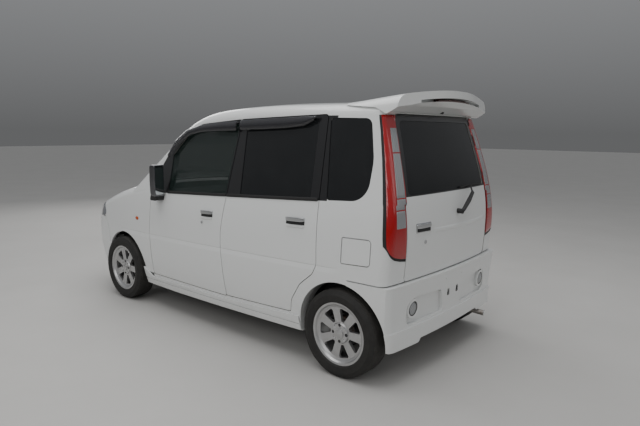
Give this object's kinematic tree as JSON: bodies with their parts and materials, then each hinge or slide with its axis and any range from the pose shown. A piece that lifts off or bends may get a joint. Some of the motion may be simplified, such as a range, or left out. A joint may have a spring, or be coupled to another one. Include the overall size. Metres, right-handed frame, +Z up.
{
  "type": "kei car",
  "caption": "Tall boxy five-door kei car with side-hinged back door, opening doors and bonnet, steered front wheels and a hollow cabin with seats.",
  "frame": {"origin": "on the ground, midway along and across the car", "axes": "+X forward, +Y to the car's left, +Z up"},
  "size_m": [3.3959, 1.54, 1.6928],
  "materials": {
    "white_paint": "gloss",
    "dark_glass": "polished",
    "clear_glass": "polished",
    "lamp_red": "gloss",
    "lamp_clear": "gloss",
    "black_plastic": "satin",
    "grey_plastic": "satin",
    "cloth": "woven",
    "tyre_rubber": "matte",
    "alloy": "satin",
    "chrome": "polished",
    "iron": "rough",
    "steel": "satin"
  },
  "bodies": {
    "root": {"body_shell": "white_paint", "underbody": "white_paint", "front_fenders": "white_paint", "front_bumper": "white_paint", "rear_bumper": "white_paint", "side_skirts": "white_paint", "windscreen": "clear_glass", "cowl_panel": "black_plastic", "quarter_glasses": "dark_glass", "headlamps": "lamp_clear", "grille": "black_plastic", "tail_lamp_left": "lamp_red", "tail_lamp_right": "lamp_red", "roof_spoiler": "white_paint", "bumper_lamps": "lamp_red", "engine_block": "iron", "exhaust": "steel", "fuel_tank": "black_plastic", "rear_axle": "iron", "front_suspension": "iron", "dashboard": "grey_plastic", "front_seats": "cloth", "rear_seat": "cloth"},
    "door_front_left": {"front_door_left": "white_paint", "front_door_glass_left": "clear_glass", "mirror_left": "chrome"},
    "door_front_right": {"front_door_right": "white_paint", "front_door_glass_right": "clear_glass", "mirror_right": "chrome"},
    "door_rear_left": {"rear_door_left": "white_paint", "rear_door_glass_left": "dark_glass"},
    "door_rear_right": {"rear_door_right": "white_paint", "rear_door_glass_right": "dark_glass"},
    "door_back": {"back_door": "white_paint", "back_glass": "dark_glass", "rear_wiper": "black_plastic"},
    "hood": {"bonnet": "white_paint"},
    "filler_lid": {"fuel_lid": "white_paint"},
    "steering": {"steering_wheel": "black_plastic"},
    "steer_left": {"knuckle_left": "iron"},
    "steer_right": {"knuckle_right": "iron"},
    "wheel_front_left": {"tyre_front_left": "tyre_rubber", "rim_front_left": "alloy"},
    "wheel_front_right": {"tyre_front_right": "tyre_rubber", "rim_front_right": "alloy"},
    "wheel_rear_left": {"tyre_rear_left": "tyre_rubber", "rim_rear_left": "alloy"},
    "wheel_rear_right": {"tyre_rear_right": "tyre_rubber", "rim_rear_right": "alloy"}
  },
  "joints": [
    {"name": "front_door_left_swing", "type": "hinge", "parent": "root", "child": "door_front_left", "pos_m": [0.585, 0.7, 0.6], "axis": [0, 0.061, -0.9981], "range_deg": [0, 65]},
    {"name": "front_door_right_swing", "type": "hinge", "parent": "root", "child": "door_front_right", "pos_m": [0.585, -0.7, 0.6], "axis": [0, 0.061, 0.9981], "range_deg": [0, 65]},
    {"name": "rear_door_left_swing", "type": "hinge", "parent": "root", "child": "door_rear_left", "pos_m": [-0.325, 0.714, 0.6], "axis": [0, 0.061, -0.9981], "range_deg": [0, 68]},
    {"name": "rear_door_right_swing", "type": "hinge", "parent": "root", "child": "door_rear_right", "pos_m": [-0.325, -0.714, 0.6], "axis": [0, 0.061, 0.9981], "range_deg": [0, 68]},
    {"name": "back_door_swing", "type": "hinge", "parent": "root", "child": "door_back", "pos_m": [-1.625, -0.49, 0.7], "axis": [0.0262, 0, 0.9997], "range_deg": [0, 80]},
    {"name": "bonnet_lift", "type": "hinge", "parent": "root", "child": "hood", "pos_m": [0.975, 0, 0.955], "axis": [0, -1, 0], "range_deg": [0, 50]},
    {"name": "fuel_lid_swing", "type": "hinge", "parent": "root", "child": "filler_lid", "pos_m": [-1.338, 0.7023, 0.775], "axis": [0, 0, -1], "range_deg": [0, 85]},
    {"name": "steering_turn", "type": "hinge", "parent": "root", "child": "steering", "pos_m": [0.47, -0.34, 0.89], "axis": [-0.8832, 0, 0.4691], "range_deg": [-561, 561]},
    {"name": "left_steer", "type": "hinge", "parent": "root", "child": "steer_left", "pos_m": [1.0525, 0.605, 0.185], "axis": [0, -0.2286, 0.9735], "range_deg": [-33, 33]},
    {"name": "right_steer", "type": "hinge", "parent": "root", "child": "steer_right", "pos_m": [1.0525, -0.605, 0.185], "axis": [0, 0.2286, 0.9735], "range_deg": [-33, 33]},
    {"name": "wheel_front_left_spin", "type": "hinge", "parent": "steer_left", "child": "wheel_front_left", "pos_m": [1.0525, 0.6525, 0.268], "axis": [0, 1, 0], "continuous": true},
    {"name": "wheel_front_right_spin", "type": "hinge", "parent": "steer_right", "child": "wheel_front_right", "pos_m": [1.0525, -0.6525, 0.268], "axis": [0, 1, 0], "continuous": true},
    {"name": "wheel_rear_left_spin", "type": "hinge", "parent": "root", "child": "wheel_rear_left", "pos_m": [-1.3075, 0.645, 0.268], "axis": [0, 1, 0], "continuous": true},
    {"name": "wheel_rear_right_spin", "type": "hinge", "parent": "root", "child": "wheel_rear_right", "pos_m": [-1.3075, -0.645, 0.268], "axis": [0, 1, 0], "continuous": true}
  ],
  "couplings": [
    {"joint": "left_steer", "follows": "steering_turn", "ratio": 0.058824},
    {"joint": "right_steer", "follows": "steering_turn", "ratio": 0.058824}
  ]
}
